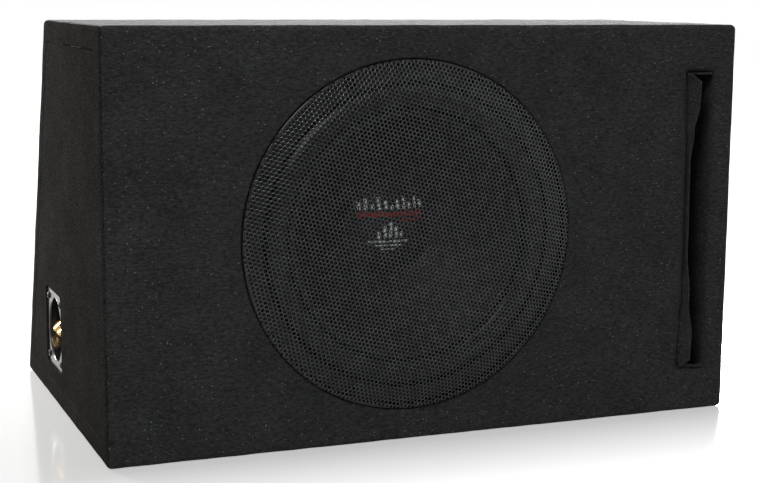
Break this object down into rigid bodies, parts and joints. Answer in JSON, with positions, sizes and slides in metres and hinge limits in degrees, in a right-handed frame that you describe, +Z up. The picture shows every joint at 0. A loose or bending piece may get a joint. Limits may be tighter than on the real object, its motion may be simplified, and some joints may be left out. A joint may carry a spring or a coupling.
{
  "type": "powered car subwoofer",
  "caption": "Black carpeted vented car subwoofer box with sloping back, round perforated grille over one driver, side terminal cup, port slot, plate amplifier.",
  "frame": {"origin": "middle of the base of the whole object's box", "axes": "+X right seen from the front, front and grille face -Y, +Z up"},
  "size_m": [0.606, 0.404, 0.37],
  "materials": {
    "wood": "sawn MDF",
    "carpet": "short-pile black felt carpet",
    "grille_paint": "satin black powder coat",
    "basket_paint": "black painted steel",
    "steel": "zinc-plated steel",
    "ferrite": "sintered ferrite",
    "rubber": "satin rubber",
    "cone_paper": "coated pulp",
    "spider_cloth": "resin-treated cotton",
    "coil_former": "polyimide film",
    "copper": "enamelled copper",
    "gloss_plastic": "polished black moulding",
    "gold_plate": "gold-plated brass",
    "matte_plastic": "black moulding",
    "anodised": "black anodised aluminium",
    "circuit_laminate": "green solder mask",
    "fuse_plastic": "translucent blue",
    "led_lens": "clear blue lens",
    "lead_insulation": "vinyl insulation"
  },
  "bodies": {
    "cabinet": {"front_baffle": "wood", "back_panel": "wood", "left_side_panel": "wood", "right_side_panel": "wood", "top_panel": "wood", "bottom_panel": "wood", "port_wall": "wood", "carpet_wrap": "carpet", "carpet_bottom": "carpet", "carpet_left_side": "carpet", "carpet_right_side": "carpet", "grille_mesh": "grille_paint", "grille_frame": "grille_paint", "driver_basket": "basket_paint", "driver_screw_1": "basket_paint", "driver_screw_2": "basket_paint", "driver_screw_3": "basket_paint", "driver_screw_4": "basket_paint", "driver_screw_5": "basket_paint", "driver_screw_6": "basket_paint", "driver_screw_7": "basket_paint", "driver_screw_8": "basket_paint", "cup_screw_1": "basket_paint", "cup_screw_2": "basket_paint", "cup_screw_3": "basket_paint", "cup_screw_4": "basket_paint", "top_plate": "steel", "pole_piece": "steel", "magnet": "ferrite", "gasket_ring": "rubber", "surround": "rubber", "spider": "spider_cloth", "tinsel_lead_positive": "copper", "tinsel_lead_negative": "copper", "terminal_cup": "gloss_plastic", "post_stud_red": "gold_plate", "post_stud_black": "gold_plate", "rca_socket_left": "gold_plate", "rca_socket_right": "gold_plate", "driver_terminal_block": "matte_plastic", "amp_cover": "matte_plastic", "power_terminal_block": "matte_plastic", "amp_plate": "anodised", "amp_circuit_board": "circuit_laminate", "power_led": "led_lens", "cup_lead": "lead_insulation", "driver_lead": "lead_insulation"},
    "cone_assembly": {"cone": "cone_paper", "dust_cap": "cone_paper", "voice_coil_former": "coil_former", "voice_coil_winding": "copper"},
    "red_collar": {"post_collar_red": "gold_plate"},
    "red_cap": {"post_cap_red": "gold_plate"},
    "black_collar": {"post_collar_black": "gold_plate"},
    "black_cap": {"post_cap_black": "gold_plate"},
    "gain_control": {"gain_knob": "matte_plastic"},
    "crossover_control": {"crossover_knob": "matte_plastic"},
    "bass_boost_control": {"bass_boost_knob": "matte_plastic"},
    "phase_slider": {"phase_switch": "matte_plastic"},
    "fuse_body": {"fuse": "fuse_plastic"}
  },
  "joints": [
    {"name": "cone_travel", "type": "slide", "parent": "cabinet", "child": "cone_assembly", "axis": [0, -1, 0], "range_m": [-0.008, 0.008], "stiffness_N_per_m": 4000, "deforming": ["surround", "spider", "tinsel_lead_positive", "tinsel_lead_negative"]},
    {"name": "red_post_lift", "type": "slide", "parent": "cabinet", "child": "red_collar", "axis": [-0.7071, 0, 0.7071], "range_m": [0, 0.0036]},
    {"name": "red_cap_turn", "type": "hinge", "parent": "red_collar", "child": "red_cap", "pos_m": [-0.284, 0.039, 0.062], "axis": [-0.7071, 0, 0.7071], "range_deg": [0, 1800]},
    {"name": "black_post_lift", "type": "slide", "parent": "cabinet", "child": "black_collar", "axis": [-0.7071, 0, 0.7071], "range_m": [0, 0.0036]},
    {"name": "black_cap_turn", "type": "hinge", "parent": "black_collar", "child": "black_cap", "pos_m": [-0.284, 0.059, 0.062], "axis": [-0.7071, 0, 0.7071], "range_deg": [0, 1800]},
    {"name": "gain_turn", "type": "hinge", "parent": "cabinet", "child": "gain_control", "pos_m": [-0.115, 0.10997, 0.22747], "axis": [0, 0.9344, 0.3561], "range_deg": [-140, 140]},
    {"name": "crossover_turn", "type": "hinge", "parent": "cabinet", "child": "crossover_control", "pos_m": [-0.155, 0.10997, 0.22747], "axis": [0, 0.9344, 0.3561], "range_deg": [-140, 140]},
    {"name": "bass_boost_turn", "type": "hinge", "parent": "cabinet", "child": "bass_boost_control", "pos_m": [-0.195, 0.10997, 0.22747], "axis": [0, 0.9344, 0.3561], "range_deg": [-140, 140]},
    {"name": "phase_slide", "type": "slide", "parent": "cabinet", "child": "phase_slider", "axis": [-1, 0, 0], "range_m": [0, 0.004]},
    {"name": "fuse_pull", "type": "slide", "parent": "cabinet", "child": "fuse_body", "axis": [0, 0.9344, 0.3561], "range_m": [0, 0.012]}
  ],
  "couplings": [
    {"joint": "red_post_lift", "follows": "red_cap_turn", "m_per_rad": 0.00011141},
    {"joint": "black_post_lift", "follows": "black_cap_turn", "m_per_rad": 0.00011141}
  ]
}
